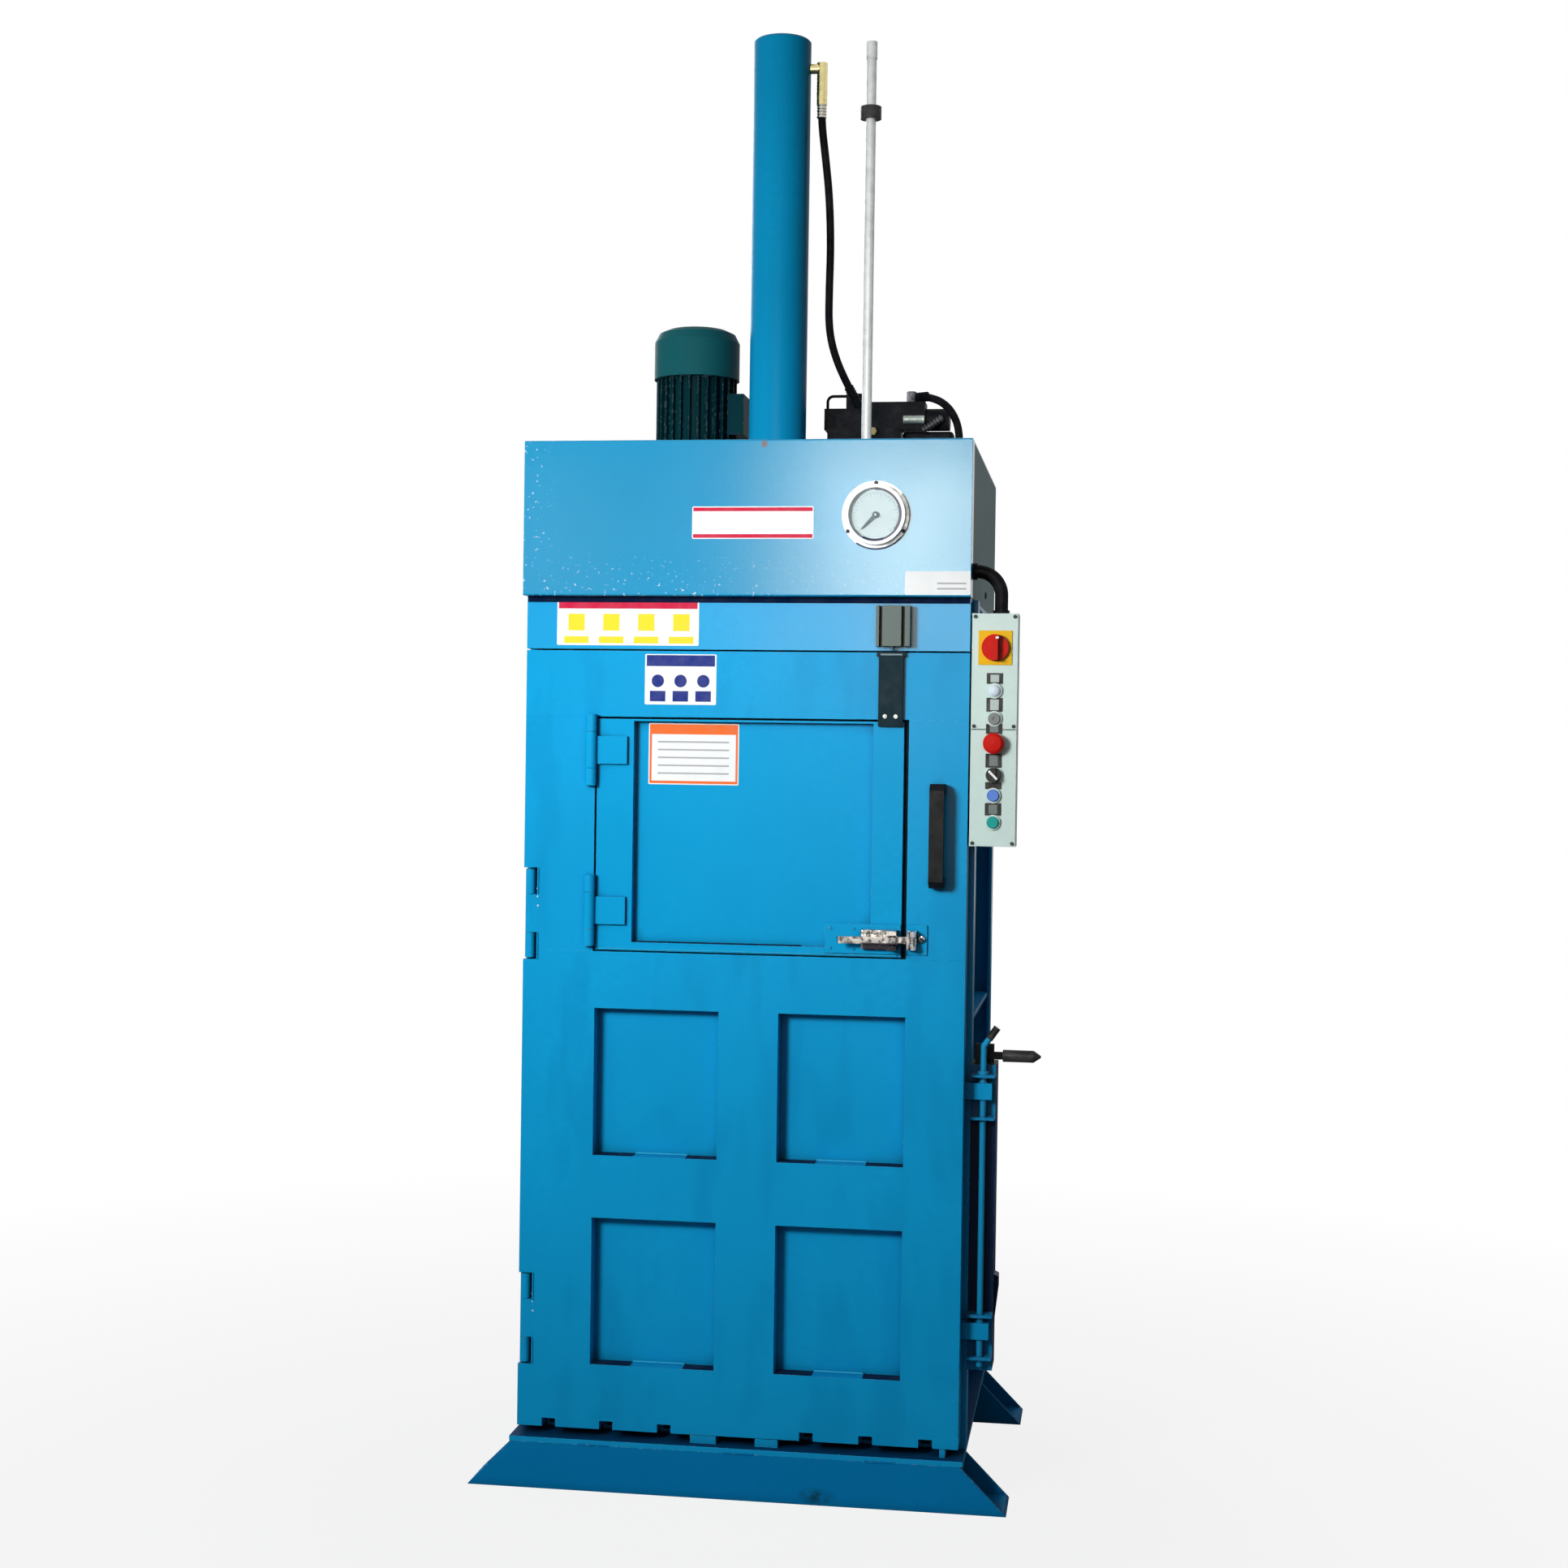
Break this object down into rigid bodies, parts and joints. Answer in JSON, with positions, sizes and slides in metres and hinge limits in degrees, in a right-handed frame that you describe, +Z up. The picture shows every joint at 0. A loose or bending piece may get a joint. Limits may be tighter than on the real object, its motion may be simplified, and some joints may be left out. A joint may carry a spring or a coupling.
{
  "type": "vertical recycling baler",
  "caption": "Upright waste-paper baler: tall hinged chamber door with a feed door in it, hydraulic ram on top, motor, valves, gauge and a side control box.",
  "frame": {"origin": "on the floor, in the machine's middle plane, straight below the front face of the tall door", "axes": "+X to the right of someone who faces the door, +Y away from them towards the rear, +Z up"},
  "size_m": [1.082, 0.783, 2.869],
  "materials": {
    "blue_paint": "satin",
    "foot_paint": "satin",
    "cylinder_paint": "satin",
    "motor_paint": "matt",
    "box_paint": "satin",
    "cover_dark": "matt",
    "bare_steel": "brushed",
    "galvanised": "dull",
    "hard_chrome": "polished",
    "latch_chrome": "worn",
    "brass_fitting": "zinc-yellow",
    "iron": "painted",
    "black_plastic": "matt",
    "black_metal": "satin",
    "yellow_plastic": "gloss",
    "red_plastic": "gloss",
    "blue_plastic": "gloss",
    "green_plastic": "gloss",
    "lamp_plastic": "frosted",
    "grey_plastic": "matt",
    "hose_rubber": "matt",
    "gauge_glass": "clear",
    "dial": "matt",
    "needle_paint": "matt"
  },
  "bodies": {
    "body": {"feet": "foot_paint", "base_plate": "blue_paint", "chamber_floor": "blue_paint", "left_side_wall": "blue_paint", "right_side_wall": "blue_paint", "rear_wall": "blue_paint", "header_panel": "blue_paint", "crown_beam": "blue_paint", "front_cover": "blue_paint", "side_covers": "cover_dark", "top_deck": "blue_paint", "latch_post": "blue_paint", "body_hinges": "blue_paint", "cylinder_tube": "cylinder_paint", "port_elbow": "brass_fitting", "pressure_hose": "hose_rubber", "valve_manifold": "iron", "solenoid_valve": "iron", "rod_side_hose": "hose_rubber", "oil_tank": "blue_paint", "pump": "iron", "motor_housing": "motor_paint", "fan_cowl": "motor_paint", "gauge_case": "dial", "gauge_lens": "gauge_glass", "control_box": "box_paint", "control_covers": "box_paint", "cover_screws": "bare_steel", "isolator_plate": "yellow_plastic", "pilot_lamp": "lamp_plastic", "key_switch": "grey_plastic", "cable_conduit": "black_plastic", "interlock_switch": "grey_plastic"},
    "main_door": {"main_door": "blue_paint", "feed_stops": "blue_paint", "door_lugs": "blue_paint", "pull_handle": "black_metal", "feed_hinge_barrels": "blue_paint", "latch_strike": "latch_chrome"},
    "feed_door": {"feed_door": "blue_paint", "feed_hinge_straps": "blue_paint", "interlock_tongue": "black_metal", "latch_base": "latch_chrome"},
    "latch_lever": {"latch_lever": "latch_chrome"},
    "latch_bolt": {"latch_bolt": "latch_chrome"},
    "lock_rod": {"lock_rod": "blue_paint", "lock_rod_grip": "black_plastic"},
    "ram": {"ram_rod": "hard_chrome", "platen": "blue_paint", "indicator_rod": "galvanised", "rod_collar": "black_plastic"},
    "motor_rotor": {"motor_rotor": "bare_steel"},
    "gauge_needle": {"gauge_needle": "needle_paint"},
    "isolator_knob": {"isolator_knob": "red_plastic"},
    "estop_button": {"estop_button": "red_plastic"},
    "selector_knob": {"selector_knob": "black_plastic"},
    "blue_button": {"blue_button": "blue_plastic"},
    "green_button": {"green_button": "green_plastic"},
    "ejector_lever": {"ejector_lever": "black_metal", "lever_grip": "black_plastic"}
  },
  "joints": [
    {"name": "main_door_swing", "type": "hinge", "parent": "body", "child": "main_door", "pos_m": [-0.414, 0.012, 0], "axis": [0, 0, -1], "range_deg": [0, 120]},
    {"name": "feed_door_swing", "type": "hinge", "parent": "main_door", "child": "feed_door", "pos_m": [-0.2935, -0.011, 0], "axis": [0, 0, -1], "range_deg": [0, 100]},
    {"name": "latch_lever_swing", "type": "hinge", "parent": "feed_door", "child": "latch_lever", "pos_m": [0.29, -0.028, 1.0675], "axis": [0, 0, 1], "range_deg": [0, 45]},
    {"name": "latch_bolt_slide", "type": "slide", "parent": "feed_door", "child": "latch_bolt", "axis": [-1, 0, 0], "range_m": [0, 0.015]},
    {"name": "lock_rod_lift", "type": "slide", "parent": "body", "child": "lock_rod", "axis": [0, 0, 1], "range_m": [0, 0.05]},
    {"name": "ram_stroke", "type": "slide", "parent": "body", "child": "ram", "axis": [0, 0, -1], "range_m": [0, 0.66]},
    {"name": "rotor_spin", "type": "hinge", "parent": "body", "child": "motor_rotor", "pos_m": [-0.186, 0.45, 2.2], "axis": [0, 0, 1], "continuous": true},
    {"name": "gauge_needle_turn", "type": "hinge", "parent": "body", "child": "gauge_needle", "pos_m": [0.248, -0.039, 1.86], "axis": [0, 1, 0], "range_deg": [0, 270]},
    {"name": "isolator_turn", "type": "hinge", "parent": "body", "child": "isolator_knob", "pos_m": [0.472, -0.01, 1.616], "axis": [0, 1, 0], "range_deg": [0, 90]},
    {"name": "estop_press", "type": "slide", "parent": "body", "child": "estop_button", "axis": [0, 1, 0], "range_m": [0, 0.005]},
    {"name": "selector_turn", "type": "hinge", "parent": "body", "child": "selector_knob", "pos_m": [0.472, -0.01, 1.379], "axis": [0, 1, 0], "range_deg": [-45, 45]},
    {"name": "blue_button_press", "type": "slide", "parent": "body", "child": "blue_button", "axis": [0, 1, 0], "range_m": [0, 0.004], "stiffness_N_per_m": 400, "springref_m": -0.001},
    {"name": "green_button_press", "type": "slide", "parent": "body", "child": "green_button", "axis": [0, 1, 0], "range_m": [0, 0.004], "stiffness_N_per_m": 400, "springref_m": -0.001},
    {"name": "ejector_lever_swing", "type": "hinge", "parent": "body", "child": "ejector_lever", "pos_m": [0.455, 0.088, 0.845], "axis": [0, -1, 0], "range_deg": [0, 75]}
  ],
  "couplings": [
    {"joint": "latch_bolt_slide", "follows": "latch_lever_swing", "m_per_rad": 0.0191}
  ]
}
